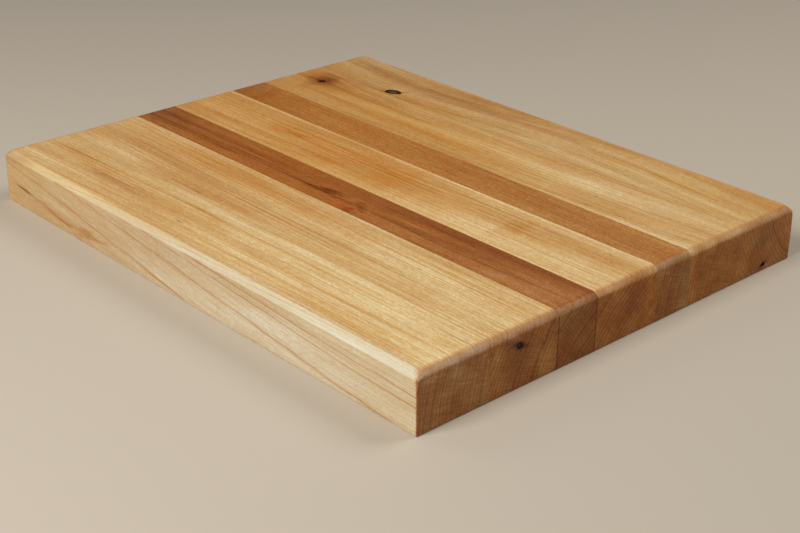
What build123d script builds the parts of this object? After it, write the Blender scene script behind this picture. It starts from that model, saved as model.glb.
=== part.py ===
"""Laminated cutting board: five maple staves and two cherry staves, glued edge to edge.

Frame: +X runs along the grain, +Y across the staves towards the back, and +Z is up.
The origin is the middle of the underside, the face that rests on the worktop.
All sizes are in millimetres.
"""

import os

from build123d import *

# --- Driving dimensions -------------------------------------------------------------------
LENGTH = 355.6  # 14 in, along the grain
THICKNESS = 31.75  # 1 1/4 in
GLUE_LINE = 0.12  # thickness of the cured glue film between two staves

# The staves from the front edge to the back edge. A pitch runs from the middle of one glue
# line to the middle of the next, or to the board's outside edge.
STAVE_PITCHES = [
    ("maple_stave_1", 44.8),
    ("maple_stave_2", 45.4),
    ("cherry_stave_1", 28.05),
    ("maple_stave_3", 45.15),
    ("cherry_stave_2", 26.2),
    ("maple_stave_4", 44.6),
    ("maple_stave_5", 45.2),
]
WIDTH = sum(pitch for _, pitch in STAVE_PITCHES)  # 279.4, which is 11 in

# Outside edges, worked on the glued and planed board
SIDE_CHAMFER = 3.2  # top edges along the grain
END_CHAMFER = 2.7  # top edges across the end grain
TOP_ARRIS = 1.3  # sanded round where a chamfer meets the cutting face
OUTER_ARRIS = 0.7  # sanded round on every other outside edge

# Dead knots: stubs of branch wood that the stave grew round, each in its own pocket. Places
# are along the face's own axes, and a heel is the share of the section left at the bottom.
TOP_KNOT = {
    "name": "top_knot",
    "stave": "maple_stave_5",
    "face": Plane.XY.offset(THICKNESS),
    "place": (-103.5, 100.3),
    "turn": 17,  # degrees from the grain
    "radii": (6.3, 3.7),
    "depth": 13.0,
    "heel": 0.72,
}
END_KNOT = {
    "name": "end_knot",
    "stave": "maple_stave_2",
    "face": Plane.YZ.offset(LENGTH / 2),
    "place": (-75.5, 22.8),  # across the board, above the underside
    "turn": -25,  # degrees from level
    "radii": (2.3, 1.6),
    "depth": 9.0,
    "heel": 0.6,
}
KNOTS = [TOP_KNOT, END_KNOT]
KNOT_GAP = 0.12  # shrinkage gap round a dead knot, which stands on its pocket's floor
KNOT_SINK = 0.15  # how far a knot's face has shrunk below the face around it

# A small hollow in the end grain, where bark grew into the wood and fell out
BARK_POCKET = {
    "stave": "maple_stave_5",
    "face": Plane.YZ.offset(LENGTH / 2),
    "place": (115.5, 3.8),
    "turn": 20,
    "radii": (1.6, 0.9),
    "depth": 2.5,
    "heel": 0.5,
}
HOLLOWS = [*KNOTS, BARK_POCKET]


def stave_edges():
    """Each stave's name with its front and back faces' Y, leaving room for the glue films."""
    edges = []
    front = -WIDTH / 2
    for number, (name, pitch) in enumerate(STAVE_PITCHES):
        back = front + pitch
        low = front if number == 0 else front + GLUE_LINE / 2
        high = back if number == len(STAVE_PITCHES) - 1 else back - GLUE_LINE / 2
        edges.append((name, low, high))
        front = back
    return edges


def tapered_plug(hollow, gap=0.0, sink=0.0):
    """What fills a hollow, thinning towards the heart of the tree.

    With no gap and no sink this is the hollow itself. A dead knot has shrunk by both.
    """
    centre = Location((*hollow["place"], 0), (0, 0, hollow["turn"]))
    long_radius, short_radius = hollow["radii"]
    with BuildPart() as plug:
        for level, share in ((-sink, 1.0), (-hollow["depth"], hollow["heel"])):
            with BuildSketch(hollow["face"].offset(level)):
                with Locations(centre):
                    Ellipse(long_radius * share - gap, short_radius * share - gap)
        loft()
    return plug.part


def save(part, name):
    """Writes one finished piece as its own node."""
    part.label = name
    export_step(part, f"parts/{name}.step")


# --- The glued blank, with its outside edges eased ----------------------------------------
# Its slices are the staves and the glue films, so neighbours meet face to face and every
# eased edge runs straight across the joints.
with BuildPart() as blank:
    with BuildSketch(Plane.XY):
        Rectangle(LENGTH, WIDTH)
    extrude(amount=THICKNESS)
    top_edges = blank.faces().sort_by(Axis.Z)[-1].edges()
    chamfer(top_edges.filter_by(Axis.X), SIDE_CHAMFER)
    top_edges = blank.faces().sort_by(Axis.Z)[-1].edges()
    chamfer(top_edges.filter_by(Axis.Y), END_CHAMFER)
    fillet(blank.faces().sort_by(Axis.Z)[-1].edges(), TOP_ARRIS)
    outer_edges = blank.edges().filter_by(GeomType.LINE).filter_by(
        lambda edge: edge.center().Z < THICKNESS - min(SIDE_CHAMFER, END_CHAMFER) / 2
    )
    fillet(outer_edges, OUTER_ARRIS)


def slice_of_blank(low, high):
    """The part of the blank between two planes across the board."""
    with BuildPart() as piece:
        add(blank.part)
        with BuildSketch(Plane.XY):
            with Locations((0, (low + high) / 2)):
                Rectangle(LENGTH, high - low)
        extrude(amount=THICKNESS, mode=Mode.INTERSECT)
    return piece.part


# --- Staves -------------------------------------------------------------------------------
os.makedirs("parts", exist_ok=True)
EDGES = stave_edges()

for name, low, high in EDGES:
    with BuildPart() as stave:
        add(slice_of_blank(low, high))
        for hollow in HOLLOWS:
            if hollow["stave"] == name:
                add(tapered_plug(hollow), mode=Mode.SUBTRACT)
    save(stave.part, name)

# --- Glue films, one in each joint ---------------------------------------------------------
for number in range(1, len(EDGES)):
    film_low = EDGES[number - 1][2]
    film_high = EDGES[number][1]
    with BuildPart() as glue_film:
        add(slice_of_blank(film_low, film_high))
    save(glue_film.part, f"glue_line_{number}")

# --- Knots --------------------------------------------------------------------------------
for knot in KNOTS:
    with BuildPart() as stub:
        add(tapered_plug(knot, gap=KNOT_GAP, sink=KNOT_SINK))
    save(stub.part, knot["name"])
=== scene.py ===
"""The looks of a laminated cutting board: its solid wood figure, its light and its camera.

Everything stands in the board's own frame: +X along the grain, +Y across the staves, +Z up,
with the origin in the middle of the underside. Blender works in metres. The wood is described
in millimetres, because its rings and fibres are that small.
"""

from dataclasses import dataclass, field
from math import cos, pi, radians, sin

import bpy
import numpy as np
from mathutils import Matrix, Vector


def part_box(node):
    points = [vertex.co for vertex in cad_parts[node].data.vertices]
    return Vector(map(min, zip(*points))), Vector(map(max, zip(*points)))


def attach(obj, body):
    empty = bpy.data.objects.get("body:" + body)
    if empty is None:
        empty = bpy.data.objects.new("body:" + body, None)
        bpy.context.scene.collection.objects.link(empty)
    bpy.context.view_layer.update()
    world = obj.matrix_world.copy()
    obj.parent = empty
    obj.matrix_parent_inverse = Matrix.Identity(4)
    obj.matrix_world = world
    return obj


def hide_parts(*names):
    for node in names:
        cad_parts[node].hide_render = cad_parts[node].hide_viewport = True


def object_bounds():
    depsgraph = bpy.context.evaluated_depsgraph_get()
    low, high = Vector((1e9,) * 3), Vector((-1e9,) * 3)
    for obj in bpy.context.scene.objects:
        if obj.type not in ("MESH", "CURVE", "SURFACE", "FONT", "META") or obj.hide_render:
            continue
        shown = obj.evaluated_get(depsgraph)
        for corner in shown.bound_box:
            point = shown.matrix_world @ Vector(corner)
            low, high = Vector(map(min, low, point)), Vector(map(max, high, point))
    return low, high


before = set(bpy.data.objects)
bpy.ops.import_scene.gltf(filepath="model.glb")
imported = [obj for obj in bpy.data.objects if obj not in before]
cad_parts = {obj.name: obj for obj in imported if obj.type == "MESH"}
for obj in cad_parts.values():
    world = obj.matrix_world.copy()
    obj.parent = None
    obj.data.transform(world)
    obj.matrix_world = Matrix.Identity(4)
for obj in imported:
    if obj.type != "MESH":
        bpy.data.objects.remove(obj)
cad_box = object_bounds()

MM = 0.001
HALF_LENGTH, HALF_WIDTH, THICKNESS = (side / MM for side in cad_box[1])
TOP = THICKNESS  # the cutting face, along Z
SIDE = -HALF_WIDTH  # the front side, along Y
END = HALF_LENGTH  # the end that the camera sees, along X


# --- Colour ------------------------------------------------------------------------------
def rgb(red, green, blue):
    """A linear colour with full alpha, from the 0 to 255 levels that a screen shows."""
    levels = []
    for level in (red, green, blue):
        share = level / 255
        levels.append(share / 12.92 if share <= 0.04045 else ((share + 0.055) / 1.055) ** 2.4)
    return (*levels, 1.0)


# --- Node trees that read like formulas --------------------------------------------------
SHEEN = 0.20  # the specular level of the board's surfaces, which are dull


class Value:
    """A number that varies over a surface, on which ordinary arithmetic works."""

    def __init__(self, tree, socket):
        self.tree = tree
        self.socket = socket

    def __add__(self, other):
        return self.tree.math("ADD", self, other)

    def __sub__(self, other):
        return self.tree.math("SUBTRACT", self, other)

    def __rsub__(self, other):
        return self.tree.math("SUBTRACT", other, self)

    def __mul__(self, other):
        return self.tree.math("MULTIPLY", self, other)

    def __truediv__(self, other):
        return self.tree.math("DIVIDE", self, other)

    def __abs__(self):
        return self.tree.math("ABSOLUTE", self)

    __radd__ = __add__
    __rmul__ = __mul__


class Tree:
    """A material whose nodes are made by plain calls.

    An input is a number, a tuple, or a Value or socket that another call gave back.
    """

    def __init__(self, name):
        self.material = bpy.data.materials.new(name)
        self.material.use_nodes = True
        self.tree = self.material.node_tree
        self.shader = self.tree.nodes["Principled BSDF"]
        coordinates = self.tree.nodes.new("ShaderNodeTexCoord")
        self.board_point = self.vector("SCALE", coordinates.outputs["Object"], scale=1 / MM)
        self.move_to(self.board_point)
        self.normal = [abs(part) for part in self.split(coordinates.outputs["Normal"])]

    def move_to(self, point):
        """Makes point the place that the patterns below are made at, in millimetres."""
        self.point = point
        self.x, self.y, self.z = self.split(point)

    def join(self, socket, value):
        """Gives a socket a constant, or joins another node's output to it."""
        if isinstance(value, Value):
            value = value.socket
        if isinstance(value, bpy.types.NodeSocket):
            self.tree.links.new(value, socket)
        else:
            socket.default_value = value

    def node(self, kind, *inputs, **settings):
        """Adds a node, with its inputs in the order that the node lists them."""
        node = self.tree.nodes.new(kind)
        for name, setting in settings.items():
            setattr(node, name, setting)
        for socket, value in zip(node.inputs, inputs):
            self.join(socket, value)
        return node

    def math(self, operation, *inputs):
        return Value(self, self.node("ShaderNodeMath", *inputs, operation=operation).outputs[0])

    def vector(self, operation, *inputs, scale=None):
        node = self.node("ShaderNodeVectorMath", *inputs, operation=operation)
        if scale is not None:
            self.join(node.inputs["Scale"], scale)
        return node.outputs[0]

    def split(self, vector):
        node = self.node("ShaderNodeSeparateXYZ", vector)
        return [Value(self, socket) for socket in node.outputs]

    def combine(self, x, y, z):
        return self.node("ShaderNodeCombineXYZ", x, y, z).outputs[0]

    def step(self, value, low, high, to_low=0.0, to_high=1.0):
        """A smooth step: to_low below low, to_high above high."""
        node = self.node(
            "ShaderNodeMapRange", value, low, high, to_low, to_high, interpolation_type="SMOOTHSTEP"
        )
        return Value(self, node.outputs[0])

    def noise(self, lengths, seed, detail=2.0, roughness=0.5, point=None):
        """Noise from about -1 to 1, whose grains are as long along each axis as lengths says."""
        scaled = self.vector("DIVIDE", point or self.point, lengths)
        moved = self.vector("ADD", scaled, (seed * 13.7, seed * 7.1, seed * 3.3))
        node = self.node("ShaderNodeTexNoise", noise_dimensions="3D")
        self.join(node.inputs["Vector"], moved)
        self.join(node.inputs["Scale"], 1.0)
        self.join(node.inputs["Detail"], detail)
        self.join(node.inputs["Roughness"], roughness)
        return (Value(self, node.outputs[0]) - 0.5) * 3.0

    def turned(self, offset, hollow):
        """An offset as shares of a hollow's two radii."""
        parts = self.split(offset)
        shares = []
        for axis, radius in zip(hollow.axes()[:2], hollow.radii):
            along = sum(part * float(weight) for part, weight in zip(parts, axis) if weight)
            shares.append(along / radius)
        return shares

    def random(self, value, seed):
        """A different number from 0 to 1 for each whole value."""
        node = self.node("ShaderNodeTexWhiteNoise", noise_dimensions="1D")
        self.join(node.inputs["W"], value + seed * 31.0)
        return Value(self, node.outputs[0])

    def mix(self, share, first, second, blend="MIX"):
        """Two colours mixed by share, from first at 0 to second at 1."""
        node = self.node("ShaderNodeMix", data_type="RGBA", blend_type=blend)
        self.join(node.inputs[0], share)
        self.join(node.inputs[6], first)
        self.join(node.inputs[7], second)
        return node.outputs[2]

    def times(self, first, second):
        """Two colours multiplied."""
        return self.mix(1.0, first, second, "MULTIPLY")

    def tint(self, colour, share, tint):
        """A colour that is, by share, cut down to what tint leaves of its light."""
        return self.mix(share, colour, self.times(colour, tint))

    def finish(self, colour, roughness, relief, depth):
        """Joins the colour, the roughness and a relief that is depth millimetres deep."""
        self.shader.inputs["Specular IOR Level"].default_value = SHEEN
        self.join(self.shader.inputs["Base Color"], colour)
        self.join(self.shader.inputs["Roughness"], roughness)
        bump = self.node("ShaderNodeBump")
        self.join(bump.inputs["Height"], relief)
        bump.inputs["Distance"].default_value = depth * MM
        self.join(self.shader.inputs["Normal"], bump.outputs[0])
        return self.material


# --- Timbers -----------------------------------------------------------------------------
@dataclass
class Timber:
    """A species, oiled. Colours are those of a long-grain face."""

    pale: tuple
    tan: tuple
    ring_line: tuple  # the share of the light that a late-wood line keeps
    end_grain_and_shade: tuple  # the share that an end-grain face keeps, partly where oil soaks in and partly as painted shade
    sanded_edge_and_sheen: tuple  # how sanding changes a chamfer along the grain, and a painted sheen on it
    sanded_end_and_sheen: tuple  # and a chamfer across it, with a stronger painted sheen
    ring_strength: float
    streak: float  # how strongly the fibres show
    streak_length: float
    speck: float  # how strongly its pores and short flecks show
    fine_powers: tuple  # how much more the green and the blue vary than the red, between fibres


MAPLE = Timber(
    pale=rgb(228, 194, 132),
    tan=rgb(206, 160, 94),
    ring_line=(0.72, 0.48, 0.26, 1.0),
    end_grain_and_shade=(0.60, 0.34, 0.16, 1.0),
    sanded_edge_and_sheen=(1.08, 1.24, 1.46, 1.0),
    sanded_end_and_sheen=(1.19, 1.67, 3.35, 1.0),
    ring_strength=0.9,
    streak=0.22,
    streak_length=64,
    speck=0.12,
    fine_powers=(1.0, 2.0, 3.7),
)
CHERRY = Timber(
    pale=rgb(190, 124, 56),
    tan=rgb(166, 96, 38),
    ring_line=(0.60, 0.46, 0.32, 1.0),
    end_grain_and_shade=(0.86, 0.74, 0.50, 1.0),
    sanded_edge_and_sheen=(1.02, 1.10, 1.15, 1.0),
    sanded_end_and_sheen=(1.00, 1.28, 2.5, 1.0),
    ring_strength=0.7,
    streak=0.22,
    streak_length=30,
    speck=0.22,
    fine_powers=(1.0, 1.9, 4.0),
)
BROAD_POWERS = (1.0, 2.0, 3.4)  # the same between slow patches

# How strongly each pattern lightens and darkens the wood
FIBRES = 0.12
BANDS = 0.035
CLOUDS = 0.08
CURL = 0.02
END_RAYS = 0.14
END_PORES = 0.12
END_RINGS = 0.29
END_PATCHES = 0.17

# How far a mark reaches along its face, for each millimetre that shows, and into the wood
MARK_REACH = 0.91
TOP_MARK_DEPTH = 4  # or a wide mark's own width
SIDE_MARK_DEPTH = 4
END_MARK_DEPTH = 6


@dataclass
class Mark:
    """A soft-edged patch of other colour inside the wood, in millimetres.

    tint is the share of the light that its middle keeps, and turn is its angle on its face,
    from level or from the grain.
    """

    place: tuple
    radii: tuple
    tint: tuple
    turn: float = 0.0
    ragged: float = 0.25
    axis: str = "Z_AXIS"  # the axis that it is turned about
    core: float = 0.1  # the share of its radii within which it is full
    straight: bool = False  # true where it runs along a joint instead of along the grain


def on_top(x, y, length, width, tint, turn=0.0, ragged=0.25, core=0.1):
    """A mark on the cutting face."""
    radii = (length * MARK_REACH, width * MARK_REACH, max(TOP_MARK_DEPTH, width))
    return Mark((x, y, TOP), radii, tint, turn, ragged, core=core)


def along_joint(x, y, length, width, tint, turn=0.0):
    """A strip on the cutting face, beside a joint."""
    radii = (length * MARK_REACH, width * MARK_REACH, max(TOP_MARK_DEPTH, width))
    return Mark((x, y, TOP), radii, tint, turn, core=0.4, straight=True)


def on_end(y, z, width, height, tint, turn=0.0, ragged=0.25):
    """A mark on the +X end."""
    radii = (END_MARK_DEPTH, width * MARK_REACH, height * MARK_REACH)
    return Mark((END, y, z), radii, tint, turn, ragged, "X_AXIS")


def on_side(x, z, length, height, tint, turn=0.0, ragged=0.25):
    """A mark on the front side."""
    radii = (length * MARK_REACH, SIDE_MARK_DEPTH, height * MARK_REACH)
    return Mark((x, SIDE, z), radii, tint, -turn, ragged, "Y_AXIS")


@dataclass
class Bend:
    """Where the grain flows round a knot: within the radii it is pushed out from the middle."""

    place: tuple
    radii: tuple
    push: float


@dataclass
class Stave:
    """How one stave was cut from its log, and what it shows."""

    timber: Timber
    heart: tuple  # Y and Z of the log's pith at X = 0
    ring: float  # width of a year's growth
    lean: tuple = (0.0, 0.0)  # how far the pith drifts in Y and in Z for each millimetre of X
    slope: float = 0.0  # how steeply the grain runs towards +Y at X = 0
    bend: float = 0.0  # how much steeper for each further millimetre of X
    wave: tuple = ()  # a wave in the grain: its height, its length and the X of a crest
    dip: tuple = (0.0, 0.0)  # slope and bend towards +Z, on the side faces
    tone: float = 0.0  # from the pale colour, below 0, to the tan one, above 0
    casts: tuple = ((1, 1, 1, 1), (1, 1, 1, 1))  # its own tint at its -X and +X ends
    dark_ring: tuple = ()  # a year that left a dark line on the end: radius, reach, strength
    rings_on_face: float = 1.0  # how strongly its rings show on the long faces
    veins: tuple = ()  # radii of the years that left a thin brown line on the long faces
    end_cast: tuple = (1, 1, 1, 1)  # its own tint where it is cut across
    marks: list = field(default_factory=list)
    bends: list = field(default_factory=list)

    def drift(self, x, cosine=cos):
        """How far the grain has wandered towards +Y at x."""
        wander = x * self.slope + x * x * (self.bend / 2)
        if self.wave:
            height, length, crest = self.wave
            wander = wander + cosine((x - crest) * (2 * pi / length)) * height
        return wander


# What a mark's middle, or another patch, does to the wood's red, green and blue
UMBER = (0.50, 0.40, 0.32, 1.0)
DULL = (0.84, 0.82, 0.84, 1.0)
LATE_WOOD = (0.44, 0.30, 0.18, 1.0)  # a dark ring on the end
ARRIS = (0.93, 0.80, 0.72, 1.0)  # the rounded edge between the cutting face and an end
VEIN = (0.78, 0.50, 0.32, 1.0)
BROWN = (0.80, 0.66, 0.58, 1.0)
TAN = (0.86, 0.72, 0.53, 1.0)
SOFT_TAN = (0.92, 0.82, 0.67, 1.0)
ORANGE = (0.93, 0.76, 0.48, 1.0)
SOFT_ORANGE = (0.97, 0.86, 0.68, 1.0)
RED = (0.85, 0.60, 0.42, 1.0)
PALE = (1.06, 1.14, 1.28, 1.0)
STRIP = (1.14, 1.32, 1.62, 1.0)
CREAM = (0.97, 1.14, 1.65, 1.0)
CHAR = (0.38, 0.28, 0.20, 1.0)
SOOT = (0.10, 0.07, 0.05, 1.0)
SCRATCH = (1.15, 1.30, 1.60, 1.0)


def knot_place(node):
    """The middle of a knot's mouth, in millimetres."""
    low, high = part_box(node)
    middle = (low + high) / 2 / MM
    if node == "top_knot":
        return (middle.x, middle.y, TOP)
    return (END, middle.y, middle.z)


TOP_KNOT = knot_place("top_knot")
END_KNOT = knot_place("end_knot")
TIGHT_KNOT = (-151.0, 79.5, TOP)  # grown into its stave, so it has no node of its own
BARK_POCKET = (END, 115.5, 3.8)

STAVES = {
    "maple_stave_1": Stave(
        MAPLE,
        heart=(62, -36),
        lean=(0.022, 0.06),
        slope=0.02,
        bend=-0.00013,
        dip=(-0.10, 0.0005),
        ring=2.3,
        tone=-0.3,
        casts=((0.90, 0.85, 0.86, 1.0), (1.03, 1.11, 1.32, 1.0)),
        end_cast=(0.99, 1.11, 1.58, 1.0),
        rings_on_face=0.6,
        veins=(205.0, 208.4, 210.9, 212.0),
        marks=[
            Mark((0, SIDE, 12), (900, 6, 90), CREAM, ragged=0.1),
            on_side(-155, 15, 90, 30, (1.00, 1.06, 1.16, 1.0)),
            on_side(-178, 30.5, 46, 7, (0.80, 0.70, 0.68, 1.0)),
            on_top(-60, -98, 130, 3, PALE),
            on_top(30, -98.5, 120, 3, STRIP),
            on_top(110, -118, 130, 2.0, TAN, ragged=0.5),
            on_top(60, -127, 130, 1.6, SOFT_TAN, ragged=0.5),
            on_top(-95, -100.5, 50, 1, TAN),
            on_top(-150, -109.3, 60, 1.6, BROWN),
            on_top(-70, -106.5, 110, 1.2, TAN),
            on_top(-25, -105.5, 24, 4, SOFT_TAN),
            on_top(50, -104.5, 130, 1, TAN),
            on_top(165, -103.6, 26, 1.4, BROWN),
            on_top(-95, -118, 52, 7, BROWN, ragged=0.4),
            on_top(-40, -114, 70, 9, SOFT_TAN, ragged=0.4),
            on_top(-125, -111, 60, 8, SOFT_TAN, ragged=0.5),
            on_top(-24, -122.7, 6, 0.9, UMBER),
            on_top(24, -114.7, 14, 0.9, TAN),
            on_top(99, -111, 9, 0.9, BROWN),
            on_top(-150, -129, 60, 7, PALE, ragged=0.4),
            on_top(120, -131, 90, 6, SOFT_TAN, ragged=0.4),
            on_side(-159, 12.2, 17, 1.5, (0.42, 0.22, 0.10, 1.0), turn=-6, ragged=0.4),
            on_side(-126, 7.5, 38, 3.4, (0.86, 0.64, 0.46, 1.0), turn=-8, ragged=0.6),
            on_side(-92, 6.5, 30, 4.4, (0.82, 0.62, 0.46, 1.0), ragged=0.6),
            on_side(14, 27.4, 7, 0.8, TAN),
            on_side(-25, 4.5, 34, 1.3, TAN, turn=-8),
            on_end(-139.5, 24, 9, 60, (1.02, 0.86, 0.62, 1.0), ragged=0.1),
            on_end(-125, 31.5, 34, 5, (1.0, 0.96, 0.85, 1.0)),
            # Painted sheen on the rounded corner where the end meets the front side
            on_end(-132, 26.5, 16, 3, (1.14, 1.26, 1.45, 1.0), ragged=0.6),
            on_end(-100, 18, 12, 18, (1.16, 1.2, 1.35, 1.0), ragged=0.5),
        ],
    ),
    "maple_stave_2": Stave(
        MAPLE,
        heart=(20, -30),
        lean=(0.004, 0.01),
        slope=-0.01,
        ring=2.4,
        tone=-0.1,
        dark_ring=(90.7, 0.75, 0.8),
        casts=((0.95, 0.90, 0.95, 1.0), (1.05, 1.14, 1.38, 1.0)),
        end_cast=(0.98, 0.97, 1.10, 1.0),
        marks=[
            on_top(-60, -61, 150, 13, SOFT_ORANGE, ragged=0.5),
            on_top(-50, -62, 90, 7, SOFT_TAN, ragged=0.5),
            on_top(-110, -67, 130, 1.1, TAN),
            on_top(20, -68.4, 90, 0.9, SOFT_TAN),
            on_top(-30, -80.8, 110, 0.9, TAN),
            on_top(70, -78.6, 150, 0.9, TAN),
            on_top(120, -60, 110, 2.2, SOFT_TAN),
            on_top(80, -50.8, 120, 1.2, PALE),
            on_top(-51.5, -92, 7, 0.9, BROWN),
            on_top(-120, -89, 90, 8, PALE, ragged=0.5),
            on_top(-62, -94.6, 60, 1.3, STRIP),
            on_end(END_KNOT[1] - 0.4, END_KNOT[2] + 0.2, 17, 3.6, CHAR, turn=-20, ragged=0.4),
            on_end(END_KNOT[1], END_KNOT[2], 4.2, 2.8, SOOT, turn=-25, ragged=0.3),
            on_end(END_KNOT[1] + 1.0, END_KNOT[2] - 6.0, 18, 18, DULL, ragged=0.5),
            on_end(-90, 16, 8, 30, (1.12, 1.16, 1.12, 1.0), ragged=0.5),
            on_end(-55.5, 9, 9, 16, (1.22, 1.30, 1.40, 1.0), ragged=0.3),
        ],
        bends=[Bend(END_KNOT, (14, 7, 6), 0.5)],
    ),
    "cherry_stave_1": Stave(
        CHERRY,
        heart=(30, -60),
        lean=(0.01, 0.0),
        ring=2.6,
        tone=0.6,
        casts=((0.98, 1.06, 1.22, 1.0), (0.91, 1.00, 1.43, 1.0)),
        end_cast=(1.15, 1.32, 1.50, 1.0),
        marks=[
            on_top(-165, -34, 44, 22, (0.86, 0.90, 1.12, 1.0), ragged=0.6),
            on_top(-158, -32, 44, 3.4, (0.72, 0.66, 0.70, 1.0), ragged=0.6),
            on_top(-160, -41, 34, 3, (0.80, 0.76, 0.82, 1.0), ragged=0.6),
            on_top(-95, -32, 90, 3.0, (0.78, 0.68, 0.55, 1.0), ragged=0.6),
            on_top(-60, -36.5, 60, 1.4, (0.76, 0.64, 0.50, 1.0), ragged=0.5),
            on_top(-108, -41, 56, 2.6, (0.76, 0.64, 0.52, 1.0), ragged=0.6),
            on_top(-70, -28, 90, 3.0, (1.08, 1.06, 0.92, 1.0), ragged=0.5),
            on_top(-85, -46.8, 190, 2.6, (1.10, 1.02, 1.02, 1.0), ragged=0.4),
            on_top(-20, -39.5, 28, 0.9, UMBER),
            on_top(-5, -37.3, 22, 4.6, (0.60, 0.42, 0.18, 1.0), turn=8, ragged=0.6),
            on_top(-4, -36.0, 12, 1.6, UMBER, turn=16, ragged=0.6),
            on_top(10, -36, 11, 7, (1.08, 1.12, 1.40, 1.0), ragged=0.5),
            on_top(13, -46, 14, 5, (1.12, 0.85, 0.65, 1.0), ragged=0.4),
            on_top(22.5, -46.5, 8, 6, (0.74, 0.48, 0.32, 1.0), ragged=0.5),
            on_top(-12, -36, 96, 34, (0.99, 0.92, 0.80, 1.0), ragged=0.3),
            on_top(25, -39, 13, 5, (0.72, 0.62, 0.55, 1.0), turn=-35, ragged=0.6),
            on_top(58, -26, 96, 8, (0.80, 0.72, 0.74, 1.0), turn=1, ragged=0.5),
            on_top(75, -37, 80, 5, (0.86, 0.80, 0.85, 1.0), turn=3, ragged=0.6),
            on_top(140, -24.5, 84, 6, (0.80, 0.74, 0.80, 1.0), turn=3, ragged=0.4),
            on_top(152, -41, 66, 13, (1.18, 1.36, 1.75, 1.0), turn=10, ragged=0.5),
            on_top(66, -33.8, 34, 1.6, (1.40, 1.40, 1.1, 1.0)),
            on_top(-27, -29.5, 18, 1.2, SCRATCH, turn=40),
            on_end(-48.9, 15, 0.8, 40, UMBER),
            on_end(-21.9, 12, 0.9, 40, UMBER),
            on_end(-36, 24, 22, 12, (0.95, 1.08, 1.35, 1.0), ragged=0.5),
        ],
        bends=[Bend((2, -38, TOP), (40, 13, 14), 0.7)],
    ),
    "maple_stave_3": Stave(
        MAPLE,
        heart=(90, -70),
        lean=(0.004, 0.0),
        ring=2.6,
        tone=0.0,
        casts=((0.94, 0.78, 0.63, 1.0), (1.05, 1.09, 1.26, 1.0)),
        end_cast=(1.04, 1.04, 1.02, 1.0),
        marks=[
            on_top(-88, 5, 34, 10, ORANGE, ragged=0.6),
            on_top(-82, 4, 20, 2.2, TAN, ragged=0.5),
            on_top(-30, 9, 80, 12, SOFT_ORANGE, ragged=0.6),
            on_top(-48, 10.7, 13, 1.2, BROWN),
            on_top(-22, 15, 20, 1.0, TAN),
            on_top(-12, 9, 12, 1.0, TAN),
            on_top(-90, 15.5, 34, 1.0, TAN),
            on_top(-92, -10, 26, 3, SOFT_ORANGE, ragged=0.5),
            on_top(-42, -8, 26, 5, SOFT_ORANGE, ragged=0.5),
            on_top(4, 2, 24, 30, SOFT_ORANGE, ragged=0.4),
            on_top(-5, 0, 140, 44, (1.0, 0.96, 0.88, 1.0), ragged=0.3),
            along_joint(0, 22.6, 380, 1.4, STRIP),
            on_top(-120, -20, 90, 1.4, PALE),
            on_top(99, 3, 12, 22, SOFT_TAN, ragged=0.4),
            on_top(100, 6.2, 22, 1.0, TAN),
            on_top(73, 6.2, 10, 1.0, TAN),
            on_top(100, 16, 12, 1.2, SOFT_ORANGE),
            on_top(93, -10.8, 5, 2.5, ORANGE),
            on_top(89, 3, 5, 30, (1.03, 1.08, 1.14, 1.0), ragged=0.4),
            on_top(155, 15, 10, 1.2, SOFT_ORANGE),
            on_end(4, 16, 12, 26, (0.86, 0.80, 0.74, 1.0), turn=-35, ragged=0.5),
            on_end(20, 16, 7, 28, (1.26, 1.28, 1.15, 1.0), ragged=0.4),
        ],
    ),
    "cherry_stave_2": Stave(
        CHERRY,
        heart=(150, -10),
        lean=(0.0, 0.01),
        slope=-0.03,
        ring=2.3,
        tone=-0.3,
        dark_ring=(112.3, 0.9, 0.45),
        casts=((1.00, 1.05, 1.10, 1.0), (1.09, 1.33, 1.92, 1.0)),
        end_cast=(1.02, 1.15, 1.60, 1.0),
        marks=[
            on_top(-172, 37, 26, 40, (0.84, 0.88, 1.15, 1.0), ragged=0.5),
            on_top(-153, 36, 9, 34, SOFT_TAN, turn=8, ragged=0.6),
            on_top(-60, 44, 100, 1.6, SOFT_TAN),
            on_top(21, 31, 8, 14, (0.92, 0.84, 0.80, 1.0), ragged=0.4),
            on_top(96, 37, 158, 60, (0.95, 0.93, 0.95, 1.0), ragged=0.05),
            on_top(90, 41, 110, 1.2, SOFT_TAN),
            on_top(40, 48.5, 46, 1.2, TAN),
            on_end(47, 19, 6, 22, (0.95, 1.12, 1.5, 1.0), ragged=0.4),
            on_end(33, 7, 16, 11, (0.86, 0.70, 0.58, 1.0), ragged=0.5),
            on_end(34, 17, 12, 14, (1.00, 0.92, 0.88, 1.0), ragged=0.5),
        ],
    ),
    "maple_stave_4": Stave(
        MAPLE,
        heart=(183, -30),
        slope=0.015,
        bend=0.0003,
        ring=2.5,
        tone=0.2,
        casts=((0.93, 0.80, 0.69, 1.0), (1.03, 1.05, 1.20, 1.0)),
        end_cast=(1.16, 1.32, 1.45, 1.0),
        marks=[
            on_top(-149, 80.5, 34, 28, TAN, ragged=0.3),
            on_top(-152, 83, 17, 19, (0.63, 0.52, 0.41, 1.0), turn=-25, ragged=0.35),
            on_top(-150.5, 80.5, 9, 10, (0.62, 0.50, 0.40, 1.0), ragged=0.4),
            Mark(TIGHT_KNOT, (2.6, 3.0, 8), SOOT, turn=-30, ragged=0.4, core=0.6),
            on_top(0, 73, 160, 44, (1.05, 1.10, 1.12, 1.0)),
            on_top(-100, 78.5, 90, 4, TAN, turn=-1, ragged=0.4),
            on_top(-70, 68, 150, 14, SOFT_ORANGE, ragged=0.5),
            on_top(10, 64, 100, 10, SOFT_TAN, ragged=0.5),
            on_top(-85, 85.2, 20, 0.9, BROWN),
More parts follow.
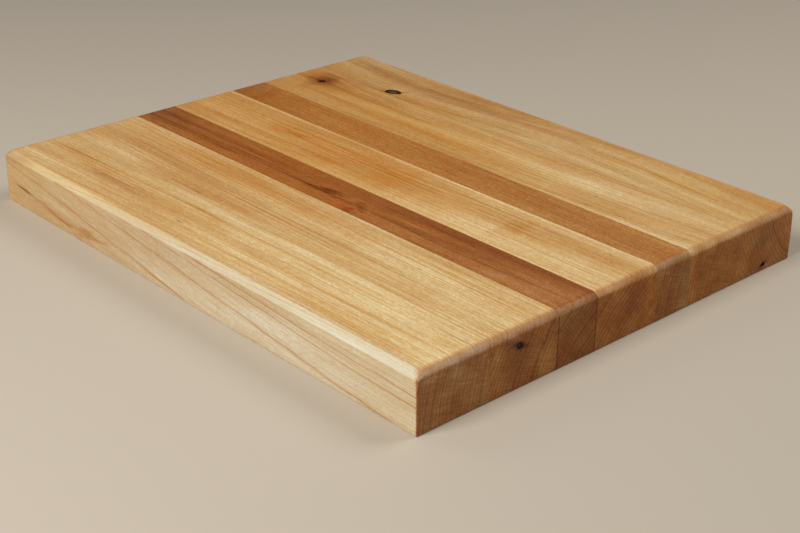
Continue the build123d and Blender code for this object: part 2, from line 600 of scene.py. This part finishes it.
            on_top(-108, 81.7, 18, 0.8, TAN),
            on_top(-75, 91, 90, 6, PALE, ragged=0.4),
            on_top(120, 87, 120, 12, PALE, ragged=0.5),
            along_joint(-90, 49.6, 190, 2.4, STRIP),
            on_top(-100, 54.8, 80, 1.0, PALE),
            along_joint(100, 50.2, 120, 4.6, (1.12, 1.26, 1.48, 1.0), turn=1.5),
            along_joint(156, 53.0, 52, 7, (1.06, 1.15, 1.28, 1.0), turn=3),
            on_top(103, 55, 4, 0.9, BROWN),
            on_top(125, 56.4, 9, 0.8, BROWN),
            on_top(166, 58.4, 9, 0.8, TAN),
            on_end(53, 16, 6, 30, (1.12, 1.15, 1.10, 1.0), ragged=0.4),
            on_end(64, 16, 8, 22, (0.88, 0.84, 0.82, 1.0), ragged=0.5),
        ],
        bends=[Bend(TIGHT_KNOT, (34, 20, 26), 0.75)],
    ),
    "maple_stave_5": Stave(
        MAPLE,
        heart=(172, 46),
        lean=(0.01, 0.01),
        wave=(4.5, 284, 47),
        ring=2.4,
        tone=0.3,
        dark_ring=(53.3, 1.1, 0.5),
        casts=((0.91, 0.85, 0.86, 1.0), (1.00, 1.01, 1.10, 1.0)),
        end_cast=(1.13, 1.29, 1.70, 1.0),
        rings_on_face=0.7,
        marks=[
            on_top(-150, 131, 60, 9, PALE, ragged=0.4),
            on_top(-110, 119.5, 120, 9, BROWN, ragged=0.5),
            on_top(-10, 120, 120, 6.5, BROWN, ragged=0.4),
            on_top(80, 118, 90, 6, SOFT_TAN, ragged=0.4),
            on_top(140, 114.5, 80, 6, SOFT_TAN, ragged=0.4),
            on_top(-90, 122, 10, 1.0, TAN),
            on_top(-65, 101, 66, 8, SOFT_ORANGE, ragged=0.5),
            on_top(-50, 100.5, 22, 1.0, TAN),
            on_top(-160, 106, 40, 5, SOFT_ORANGE, ragged=0.4),
            on_top(150, 130, 60, 8, SOFT_ORANGE, ragged=0.4),
            on_top(60, 104, 110, 12, PALE, ragged=0.5),
            on_top(-98.0, 104.8, 5, 2.2, RED, turn=50),
            on_top(-109.5, 97.0, 4, 1.8, RED, turn=40),
            on_top(-137, 119, 5, 1.6, SCRATCH, turn=35),
            on_top(-167, 123.5, 4, 1.4, SCRATCH, turn=30),
            on_end(BARK_POCKET[1], BARK_POCKET[2] + 0.2, 8, 2.4, UMBER, turn=20, ragged=0.4),
            on_end(BARK_POCKET[1], BARK_POCKET[2], 3.6, 2.3, SOOT, turn=20, ragged=0.3),
            on_end(99, 15, 12, 26, (1.10, 1.12, 0.95, 1.0), ragged=0.4),
            on_end(114, 20, 12, 14, (0.84, 0.88, 1.05, 1.0), turn=-60, ragged=0.4),
            on_end(134, 22, 10, 24, (1.20, 1.30, 1.55, 1.0), turn=25, ragged=0.4),
        ],
        bends=[Bend(TOP_KNOT, (26, 11, 16), 0.7)],
    ),
}


def bend_grain(tree, bend):
    """Moves the tree's point so that the grain flows round a knot."""
    offset = tree.vector("SUBTRACT", tree.point, bend.place)
    shares = tree.vector("DIVIDE", offset, bend.radii)
    length = tree.node("ShaderNodeVectorMath", shares, operation="LENGTH")
    nearness = tree.step(Value(tree, length.outputs["Value"]), 0.0, 1.0, bend.push, 0.0)
    tree.move_to(tree.vector("SUBTRACT", tree.point, tree.vector("SCALE", offset, scale=nearness)))


def ring_pattern(tree, stave, seed):
    """How late in its year the wood at a point grew, slowly and as a crisp line, how strongly
    that year shows, the dark ring, the veins, and the thin rays that run out from the pith."""
    plain_across = tree.y + tree.x * -stave.lean[0] - stave.heart[0]
    plain_above = tree.z + tree.x * -stave.lean[1] - stave.heart[1]
    across = plain_across + tree.noise((170, 60, 60), seed) * 2.5
    above = plain_above + tree.noise((150, 50, 50), seed + 1) * 2.5
    radius = tree.math("SQRT", across * across + above * above)
    radius = radius + tree.noise((34, 9, 9), seed + 2) * 0.3
    slow = tree.node("ShaderNodeTexNoise", noise_dimensions="1D")
    tree.join(slow.inputs["W"], radius * 0.2 + seed * 5.0)
    tree.join(slow.inputs["Scale"], 1.0)
    count = radius / stave.ring + Value(tree, slow.outputs[0]) * 1.3
    season = tree.math("FRACT", count)
    winter = tree.step(season, 0.95, 1.0, 1.0, 0.0)
    gradual = tree.step(season, 0.05, 0.90) * winter
    line = tree.step(season, 0.84, 0.93) * winter
    chance = tree.random(tree.math("FLOOR", count), seed)
    plain = tree.math("SQRT", plain_across * plain_across + plain_above * plain_above)
    dark = veins = 0.0
    if stave.dark_ring:
        ring, reach, strength = stave.dark_ring
        wavy = plain + tree.noise((30, 6, 6), seed + 12) * 0.8
        dark = tree.step(abs(wavy - ring), reach * 0.25, reach, strength, 0.0)
    for vein in stave.veins:
        wavy = plain + tree.noise((30, 9, 9), seed + 14) * 0.25
        veins = veins + tree.step(abs(wavy - vein), 0.04, 0.17, 1.0, 0.0)
    angle = tree.math("ARCTAN2", above, across)
    polar = tree.combine(angle * 150.0, radius * 0.1, 0.0)
    rays = tree.noise((1, 1, 1), seed + 10, detail=1.0, point=polar)
    return gradual, line, chance, dark, veins, rays


def mark_mask(tree, mark, stave, grain_point, seed):
    """1 in the middle of a mark and 0 outside it."""
    x, y, z = mark.place
    if mark.straight:
        point = tree.board_point
    else:
        point = grain_point
        y = y - stave.drift(x)
    offset = tree.vector("SUBTRACT", point, (x, y, z))
    if mark.turn:
        rotate = tree.node("ShaderNodeVectorRotate", rotation_type=mark.axis)
        tree.join(rotate.inputs["Vector"], offset)
        rotate.inputs["Angle"].default_value = radians(-mark.turn)
        offset = rotate.outputs[0]
    shares = tree.vector("DIVIDE", offset, mark.radii)
    length = tree.node("ShaderNodeVectorMath", shares, operation="LENGTH")
    reach = Value(tree, length.outputs["Value"])
    grains = tuple(max(radius * 0.45, 0.8) for radius in mark.radii)
    reach = reach + tree.noise(grains, seed, point=point) * mark.ragged
    return tree.step(reach, mark.core, 1.0, 1.0, 0.0)


def marked(tree, colour, stave, grain_point, seed, on_the_end):
    """A colour with the stave's marks on it: those of the +X end, or all the others."""
    for number, mark in enumerate(stave.marks):
        if (mark.axis == "X_AXIS") == on_the_end:
            mask = mark_mask(tree, mark, stave, grain_point, seed + 20 + number)
            colour = tree.tint(colour, mask, mark.tint)
    return colour


def tinted(tree, colour, level, powers):
    """A colour scaled by a level, more or less strongly in its red, green and blue."""
    channels = [tree.math("POWER", level, power) for power in powers]
    return tree.times(colour, tree.combine(*channels))


def wood_material(name, stave, seed):
    """Oiled wood with its rings, fibres, end grain and marks, solid through the stave."""
    tree = Tree(name)
    timber = stave.timber
    drift = stave.drift(tree.x, cosine=lambda angle: tree.math("COSINE", angle))
    tree.move_to(tree.combine(tree.x, tree.y - drift, tree.z))
    grain_point = tree.point
    for bend in stave.bends:
        bend_grain(tree, bend)
    gradual, line, chance, dark, veins, rays = ring_pattern(tree, stave, seed)
    late_on_face = line * (chance * chance * 0.8 + 0.2) + gradual * 0.12
    late_on_end = (gradual * 0.65 + line * 0.35) * (chance * 0.4 + 0.6)

    # Which face a point is on, from the way the surface looks there
    end = tree.step(tree.normal[0], 0.2, 0.6)
    facet = tree.step(tree.normal[2], 0.1, 0.5) * tree.step(tree.normal[2], 0.85, 0.95, 1.0, 0.0)
    side_face = tree.step(tree.normal[1], 0.75, 0.95)
    contrast = 1.0 - facet * 0.6 - side_face * 0.3
    late_on_face = late_on_face * contrast * stave.rings_on_face

    # The colour along the grain, with the years' lines
    broad = tree.noise((230, 15, 24), seed + 3, detail=2.0)
    colour = tree.mix(tree.step(broad + stave.tone, -1.0, 1.0), timber.pale, timber.tan)
    cast = tree.mix(tree.step(tree.x, -80.0, 140.0), *stave.casts)
    colour = tree.times(colour, cast)
    colour = tree.tint(colour, late_on_face * timber.ring_strength, timber.ring_line)
    if stave.veins:
        fading = tree.noise((40, 9, 9), seed + 15) * 0.25 + 0.95
        colour = tree.tint(colour, veins * fading * contrast, VEIN)

    # Fibres, short flecks and slow patches
    if stave.dip[0]:
        slope, bend = stave.dip
        fall = tree.x * slope + tree.x * tree.x * (bend / 2)
        tree.move_to(tree.combine(tree.x, tree.y, tree.z - fall * side_face))
    length = timber.streak_length
    streak = tree.noise((length, 0.75, 0.6), seed + 4, detail=3.0, roughness=0.6)
    streak = tree.math("MINIMUM", streak, streak * 0.75)
    fibre = tree.noise((4, 0.55, 0.5), seed + 5, detail=2.0)
    speck = tree.noise((1.3, 0.55, 0.5), seed + 6, detail=1.0)
    fine = (streak * timber.streak + fibre * FIBRES + speck * timber.speck) * contrast + 1.0
    colour = tinted(tree, colour, fine, timber.fine_powers)
    band = tree.noise((110, 4.5, 4.5), seed + 7, detail=2.0)
    cloud = tree.noise((60, 12, 12), seed + 8, detail=3.0)
    curl = tree.noise((11, 30, 30), seed + 9, detail=1.0)
    slow = (band * BANDS + cloud * CLOUDS + curl * CURL) * (1.0 - facet * 0.6) + 1.0
    colour = tinted(tree, colour, slow, BROAD_POWERS)
    dash = tree.step(tree.noise((11, 0.7, 0.7), seed + 13, detail=1.0), 0.75, 1.1)
    colour = tree.tint(colour, dash * 0.6, TAN)
    colour = marked(tree, colour, stave, grain_point, seed, on_the_end=False)

    # The end grain, darker partly from oil and partly as painted shade
    # Painted shade: the end-grain colour is partly its own, oil-soaked, and partly darkened for the
    # shade that the end face stands in
    cut_across = tree.times(colour, timber.end_grain_and_shade)
    cut_across = tree.times(cut_across, stave.end_cast)
    cut_across = marked(tree, cut_across, stave, grain_point, seed, on_the_end=True)
    pores = tree.noise((6, 0.45, 0.45), seed + 11, detail=1.0)
    end_level = rays * END_RAYS + pores * END_PORES + late_on_end * -END_RINGS + 0.05
    end_level = end_level * contrast + 1.0
    cut_across = tinted(tree, cut_across, end_level, timber.fine_powers)
    patch = tree.noise((60, 14, 11), seed + 16, detail=2.0)
    cut_across = tinted(tree, cut_across, patch * END_PATCHES + 1.0, BROAD_POWERS)
    if stave.dark_ring:
        cut_across = tree.tint(cut_across, dark * (1.0 - facet * 0.6), LATE_WOOD)

    # The worked edges, and a painted sheen on the chamfers
    end_arris = tree.step(tree.normal[0], 0.02, 0.2)
    colour = tree.tint(colour, end_arris, ARRIS)
    colour = tree.mix(end, colour, cut_across)
    end_facet = tree.step(tree.normal[0], 0.45, 0.68)
    # Painted sheen: the chamfers are lightened, most in the blue, partly for sanding and end grain
    # seen at a slant, partly for the light that they reflect
    sanding_and_sheen = tree.mix(end_facet, timber.sanded_edge_and_sheen, timber.sanded_end_and_sheen)
    colour = tree.tint(colour, facet, sanding_and_sheen)

    roughness = 0.44 + fibre * 0.04 + late_on_face * -0.05 + end * 0.06
    relief = fibre * 0.6 + streak * 0.4 + late_on_face * 0.5
    return tree.finish(colour, roughness, relief, depth=0.002)


def knot_material(name, knot, centre, rim):
    """Branch wood seen end on: year rings, a fine grain and a darker rim of bark."""
    tree = Tree(name)
    offset = tree.vector("SUBTRACT", tree.point, knot.place)
    across, along = tree.turned(offset, knot)
    share = tree.math("SQRT", across * across + along * along)
    share = share + tree.noise((1.6, 1.6, 1.6), 3, detail=3.0) * 0.12
    rings = tree.math("SINE", share * 26.0) * 0.5 + 0.5
    colour = tree.mix(tree.step(share, 0.1, 0.75), centre, rim)
    grain = tree.noise((0.5, 0.5, 3.0), 8, detail=3.0)
    colour = tree.vector("SCALE", colour, scale=1.0 + rings * -0.18 + grain * 0.22)
    return tree.finish(colour, 0.5 + grain * 0.08, grain + rings * 0.5, depth=0.08)


def plain_material(name, colour, roughness, seed):
    """A dull material with a slight mottle, for the glue and the bark."""
    tree = Tree(name)
    mottle = tree.noise((3, 3, 3), seed, detail=3.0)
    shaded = tree.vector("SCALE", colour[:3], scale=1.0 + mottle * 0.05)
    return tree.finish(shaded, roughness + mottle * 0.03, mottle, depth=0.01)


# --- The worked surface ------------------------------------------------------------------
SIDE_CHAMFER = 3.2  # top edges along the grain, planed
END_CHAMFER = 2.7  # top edges across the end grain, sanded softer
ARRIS_SOFTNESS = 0.3  # how far an arris along the grain is rounded over
END_ARRIS_EXTRA = 1.1  # how much further where an end chamfer meets the cutting face
END_SOFTNESS = 1.3  # the same where an end chamfer meets the end
CORNER_SOFTNESS = 0.8  # upright corner edges at the bottom
CORNER_EXTRA = 2.0  # and how much softer they grow towards the top
BOTTOM_SOFTNESS = 0.8
CORE_INSET = 8.0  # the surface is found on lines from a core this far inside the board
CHAMFER_WANDER = 0.05  # how far a side chamfer wanders in and out
END_CHAMFER_WANDER = 0.08
TOP_WANDER = 0.02  # the same of the cutting face
BULK_GRID = 4.0  # grid lines' gaps in the middle of a face
EDGE_GRID = 0.3  # and along the worked edges
MOUTH_GRID = 0.7  # and round a hollow's mouth
EDGE_REACH = 4.0  # how far in from a worked edge its gaps stay fine
BOTTOM_REACH = 1.5  # the same from the underside
SHARP_EDGE = 32  # degrees


def smooth_max(first, second, reach):
    """The larger of two distances, blended where they lie within reach of each other."""
    blend = np.maximum(reach - np.abs(first - second), 0) / reach
    return np.maximum(first, second) + blend**2 * reach / 4


def hand_waves(x, y, seed, length):
    """A slow unevenness from about -1 to 1, as a hand tool leaves."""
    rng = np.random.default_rng(seed)
    total = 0
    for _ in range(5):
        turn, phase = rng.uniform(0, 2 * np.pi, 2)
        pitch = length * rng.uniform(0.6, 1.8)
        total = total + np.sin((x * np.cos(turn) + y * np.sin(turn)) * 2 * np.pi / pitch + phase)
    return total / 3


def outside(points):
    """How far each point is outside the finished board, below 0 inside it."""
    x, y, z = points.T
    uneven = hand_waves(x, y, 11, 60)
    end = np.abs(x) - HALF_LENGTH
    side = np.abs(y) - HALF_WIDTH
    top = z - THICKNESS + TOP_WANDER * (1 + hand_waves(x * 0.3, y, 5, 14))
    side_chamfer = (side + top + SIDE_CHAMFER + CHAMFER_WANDER * uneven) / np.sqrt(2)
    end_chamfer = (end + top + END_CHAMFER + END_CHAMFER_WANDER * uneven) / np.sqrt(2)
    height = np.clip(z / THICKNESS, 0, 1)
    flanks = smooth_max(side_chamfer, side, ARRIS_SOFTNESS)
    ends = smooth_max(end_chamfer, end, END_SOFTNESS * (1 + 0.3 * uneven))
    upright = smooth_max(flanks, ends, CORNER_SOFTNESS + CORNER_EXTRA * height**4)
    near_end = np.clip((ends - flanks) / 2 + 0.5, 0, 1)  # 1 beside an end chamfer
    skin = smooth_max(top, upright, ARRIS_SOFTNESS + END_ARRIS_EXTRA * near_end)
    return smooth_max(skin, -z, BOTTOM_SOFTNESS)


def finish_surface(points):
    """Moves the points of a box-shaped grid on to the finished board."""
    inside = np.array([HALF_LENGTH, HALF_WIDTH, THICKNESS / 2]) - CORE_INSET
    middle = np.array([0, 0, THICKNESS / 2])
    core = np.clip(points - middle, -inside, inside) + middle
    reach = points - core
    share = np.abs(reach).max(axis=1) / CORE_INSET  # 1 on the grid's outer faces
    moves = share > 1e-9
    rays = reach[moves] / share[moves, None]
    near = np.full(len(rays), 0.3)
    far = np.full(len(rays), 1.2)
    for _ in range(30):  # halves the room between inside and outside each time
        half = (near + far) / 2
        out = outside(core[moves] + rays * half[:, None]) > 0
        near = np.where(out, near, half)
        far = np.where(out, half, far)
    finished = points.copy()
    finished[moves] = core[moves] + reach[moves] * near[:, None]
    return finished


def graded(start, stop, coarse, zones):
    """Grid places from start to stop, closer together near each zone's (centre, reach, gap)."""
    growth = 0.35  # of a gap, for each millimetre outside a zone
    sample = np.linspace(start, stop, 6000)
    gap = np.full_like(sample, coarse)
    for centre, reach, fine in zones:
        beyond = np.maximum(np.abs(sample - centre) - reach, 0)
        gap = np.minimum(gap, fine + beyond * growth)
    count = np.concatenate([[0], np.cumsum(np.diff(sample) / gap[1:])])
    lines = int(np.ceil(count[-1]))
    return np.interp(np.linspace(0, count[-1], lines + 1), count, sample)


def box_shell(xs, ys, zs):
    """The points and outward quads of a closed box surface on a grid."""
    shape = (len(xs), len(ys), len(zs))
    index = np.indices(shape)
    last = np.array(shape).reshape(3, 1, 1, 1) - 1
    outer = ((index == 0) | (index == last)).any(axis=0)
    number = np.full(shape, -1)
    number[outer] = np.arange(outer.sum())
    points = np.stack([axis[i[outer]] for axis, i in zip((xs, ys, zs), index)], axis=1)
    outward = [number[:, :, -1], number[:, 0, :], number[-1, :, :]]
    inward = [number[:, :, 0], number[:, -1, :], number[0, :, :]]
    quads = []
    for sheet in outward + [sheet.T for sheet in inward]:
        corners = (sheet[:-1, :-1], sheet[1:, :-1], sheet[1:, 1:], sheet[:-1, 1:])
        quads.append(np.stack([corner.ravel() for corner in corners], axis=1))
    return points, np.concatenate(quads)


def make_object(name, points, faces, material):
    """A smooth-shaded mesh object, from points in millimetres."""
    mesh = bpy.data.meshes.new(name)
    mesh.from_pydata((np.asarray(points) * MM).tolist(), [], [list(face) for face in faces])
    mesh.materials.append(material)
    shade(mesh)
    piece = bpy.data.objects.new(name, mesh)
    bpy.context.collection.objects.link(piece)
    return piece


def shade(mesh):
    """Smooth shading, with crisp edges where faces meet at more than SHARP_EDGE degrees."""
    mesh.shade_smooth()
    mesh.set_sharp_from_angle(angle=radians(SHARP_EDGE))


def stand_for(piece, node):
    """Puts a finished piece in a CAD node's place."""
    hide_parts(node)
    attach(piece, "root")


def worked_strip(node, material, hollows=(), lining=None):
    """A stave or a glue film, sliced from the finished board as wide as its CAD node."""
    low, high = (np.array(corner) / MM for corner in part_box(node))
    places = [
        [(-HALF_LENGTH, EDGE_REACH, EDGE_GRID), (HALF_LENGTH, EDGE_REACH, EDGE_GRID)],
        [(-HALF_WIDTH, EDGE_REACH, EDGE_GRID), (HALF_WIDTH, EDGE_REACH, EDGE_GRID)],
        [(0, BOTTOM_REACH, EDGE_GRID), (THICKNESS, EDGE_REACH, EDGE_GRID)],
    ]
    for hollow in hollows:
        for axis, zones in enumerate(places):
            if not hollow.outward[axis]:
                zones.append((hollow.place[axis], max(hollow.radii) + 1, MOUTH_GRID))
    grid = [graded(*span, BULK_GRID, zones) for *span, zones in zip(low, high, places)]
    points, quads = box_shell(*grid)
    piece = make_object(node + "_worked", finish_surface(points), quads, material)
    for hollow in hollows:
        cut_away(piece, hollow, lining)
    stand_for(piece, node)


# --- Knots and hollows -------------------------------------------------------------------
@dataclass
class Hollow:
    """A tapered hole in a face, with an irregular mouth. Its knot has the same outline."""

    place: tuple  # the middle of its mouth
    outward: tuple  # the way that its face looks
    turn: float  # degrees from the face's level or lengthwise direction
    radii: tuple
    depth: float
    heel: float  # share of the mouth left at the bottom
    ragged: float
    seed: int

    def axes(self):
        """The directions of the two radii, and outward."""
        outward = np.array(self.outward, float)
        level = np.array([1.0, 0, 0]) if outward[2] else np.array([0, 1.0, 0])
        upright = np.cross(outward, level)
        turn = radians(self.turn)
        long_way = level * cos(turn) + upright * sin(turn)
        return long_way, np.cross(outward, long_way), outward

    def outline(self, angles):
        """The mouth's radius at each angle, as a share of its ellipse."""
        rng = np.random.default_rng(self.seed)
        share = np.ones_like(angles)
        for lobes in range(2, 9):
            height = self.ragged / lobes * rng.uniform(-1, 1)
            share += height * np.cos(lobes * angles + rng.uniform(0, 6.28))
        return share


def plug_shell(hollow, rise, gap=0.0, rough=0.0):
    """A closed plug that fills a hollow from its floor up to rise above its face.

    gap leaves room round its sides, and rough is how far its face is broken up.
    """
    spokes, rings, levels = 72, 12, 8
    angles = np.arange(spokes) * 2 * np.pi / spokes
    long_way, short_way, outward = hollow.axes()
    radii = np.array(hollow.radii)[:, None] - gap
    rim = radii * hollow.outline(angles) * np.array([np.cos(angles), np.sin(angles)])
    layers = [(ring / rings, rise) for ring in range(rings)]
    for level in range(levels + 1):
        depth = rise - (rise + hollow.depth) * level / levels
        layers.append((1 - (1 - hollow.heel) * max(-depth, 0) / hollow.depth, depth))
    rng = np.random.default_rng(hollow.seed + 1)
    points, faces = [], []
    for number, (share, depth) in enumerate(layers):
        across = rim * max(share, 1e-3)
        height = np.full(spokes, depth)
        if number < rings:
            worn = rng.uniform(-1, 1, spokes)
            worn = (worn + np.roll(worn, 1) + np.roll(worn, 2)) / 3
            height = height + rough * worn * min(share * 3, 1)
        ring_points = (
            np.array(hollow.place)
            + np.outer(across[0], long_way)
            + np.outer(across[1], short_way)
            + np.outer(height, outward)
        )
        points.extend(ring_points)
    for layer in range(len(layers) - 1):
        for spoke in range(spokes):
            here = layer * spokes + spoke
            there = layer * spokes + (spoke + 1) % spokes
            faces.append((here, here + spokes, there + spokes, there))
    faces.append(tuple(range(spokes)))
    faces.append(tuple(reversed(range(len(points) - spokes, len(points)))))
    return points, faces


def cut_away(piece, hollow, lining):
    """Cuts a hollow into a piece, and gives its sides the lining's material."""
    cutter = make_object("cutter", *plug_shell(hollow, rise=1.0), lining)
    cut = piece.modifiers.new("hollow", "BOOLEAN")
    cut.object = cutter
    cut.solver = "EXACT"
    cut.material_mode = "TRANSFER"
    evaluated = piece.evaluated_get(bpy.context.evaluated_depsgraph_get())
    mesh = bpy.data.meshes.new_from_object(evaluated)
    piece.modifiers.clear()
    piece.data = mesh
    bpy.data.objects.remove(cutter)
    shade(mesh)


FACING_UP = (0, 0, 1)
FACING_END = (1, 0, 0)
HOLLOWS = {
    "top_knot": Hollow(
        TOP_KNOT, FACING_UP, turn=17, radii=(6.3, 3.7), depth=13, heel=0.72, ragged=0.10, seed=4
    ),
    "end_knot": Hollow(
        END_KNOT, FACING_END, turn=-25, radii=(2.3, 1.6), depth=9, heel=0.6, ragged=0.15, seed=9
    ),
    "bark_pocket": Hollow(
        BARK_POCKET, FACING_END, turn=20, radii=(1.6, 0.9), depth=2.5, heel=0.5, ragged=0.3, seed=12
    ),
    "crack": Hollow(
        TIGHT_KNOT, FACING_UP, turn=60, radii=(1.9, 1.3), depth=1.2, heel=0.3, ragged=0.6, seed=15
    ),
}
HOLLOW_STAVES = {
    "maple_stave_2": ["end_knot"],
    "maple_stave_4": ["crack"],
    "maple_stave_5": ["top_knot", "bark_pocket"],
}
KNOT_GAP = 0.12  # round a dead knot
KNOT_SINK = 0.15  # how far its face lies below the face around it
KNOT_ROUGHNESS = 0.06  # how far its face is broken up


def make_staves():
    """The staves, each from its own wood."""
    bark = plain_material("bark_lining", rgb(38, 26, 17), 0.7, seed=5)
    for number, (name, stave) in enumerate(STAVES.items()):
        wood = wood_material(name + "_wood", stave, seed=number * 40 + 1)
        hollows = [HOLLOWS[hollow] for hollow in HOLLOW_STAVES.get(name, [])]
        worked_strip(name, wood, hollows, bark)


def make_glue_lines():
    """The glue films in the joints."""
    glue = plain_material("cured_glue", rgb(158, 116, 68), 0.5, seed=3)
    for number in range(1, len(STAVES)):
        worked_strip(f"glue_line_{number}", glue)


def make_knots():
    """The two dead knots, each in its hollow."""
    colours = {
        "top_knot": (rgb(108, 88, 54), rgb(44, 33, 20)),
        "end_knot": (rgb(66, 42, 28), rgb(34, 22, 15)),
    }
    for name, (centre, rim) in colours.items():
        hollow = HOLLOWS[name]
        shell = plug_shell(hollow, rise=-KNOT_SINK, gap=KNOT_GAP, rough=KNOT_ROUGHNESS)
        wood = knot_material(name + "_wood", hollow, centre, rim)
        piece = make_object(name + "_worked", *shell, wood)
        stand_for(piece, name)


make_staves()
make_glue_lines()
make_knots()


# --- Stage, light and camera -------------------------------------------------------------
def make_floor():
    """A plain pale floor that the board rests on."""
    half = 6.0
    mesh = bpy.data.meshes.new("floor")
    corners = [(-half, -half, 0), (half, -half, 0), (half, half, 0), (-half, half, 0)]
    mesh.from_pydata(corners, [], [(0, 1, 2, 3)])
    floor = bpy.data.objects.new("floor", mesh)
    bpy.context.collection.objects.link(floor)
    tree = Tree("pale_floor")
    tree.join(tree.shader.inputs["Base Color"], rgb(200, 190, 176))
    tree.join(tree.shader.inputs["Roughness"], 0.7)
    mesh.materials.append(tree.material)


def make_softbox(name, place, size, power):
    """A square, slightly warm area light at place, facing the board."""
    light = bpy.data.lights.new(name, "AREA")
    light.shape = "SQUARE"
    light.size = size
    light.energy = power
    light.color = rgb(255, 250, 242)[:3]
    lamp = bpy.data.objects.new(name, light)
    lamp.location = place
    lamp.rotation_euler = lamp.location.to_track_quat("Z", "Y").to_euler()
    bpy.context.collection.objects.link(lamp)


def make_world(level):
    """A dim, even light from all round."""
    world = bpy.data.worlds.new("studio")
    world.use_nodes = True
    background = world.node_tree.nodes["Background"]
    background.inputs["Color"].default_value = (1.0, 0.98, 0.95, 1.0)
    background.inputs["Strength"].default_value = level
    bpy.context.scene.world = world


def make_camera():
    """The camera, at the place, the turn and the lens of the view that the board is shown in."""
    place = (0.5914, -0.5292, 0.3558)
    azimuth, depression, roll = 47.503, 25.622, 0.454  # degrees
    data = bpy.data.cameras.new("camera")
    data.sensor_width = 36.0
    data.lens = 68.28
    camera = bpy.data.objects.new("camera", data)
    camera.matrix_world = (
        Matrix.Translation(place)
        @ Matrix.Rotation(radians(azimuth), 4, "Z")
        @ Matrix.Rotation(radians(90 - depression), 4, "X")
        @ Matrix.Rotation(radians(roll), 4, "Z")
    )
    bpy.context.collection.objects.link(camera)
    bpy.context.scene.camera = camera


make_floor()
make_softbox("key_light", (0.08, -0.85, 0.78), size=0.5, power=9.25)
make_softbox("end_light", (0.4, 0.7, 1.0), size=0.6, power=6.6)
make_softbox("side_light", (-0.85, -0.5, 0.75), size=0.5, power=1.6)
make_world(level=0.08)
make_camera()
bpy.context.scene.view_settings.view_transform = "Standard"
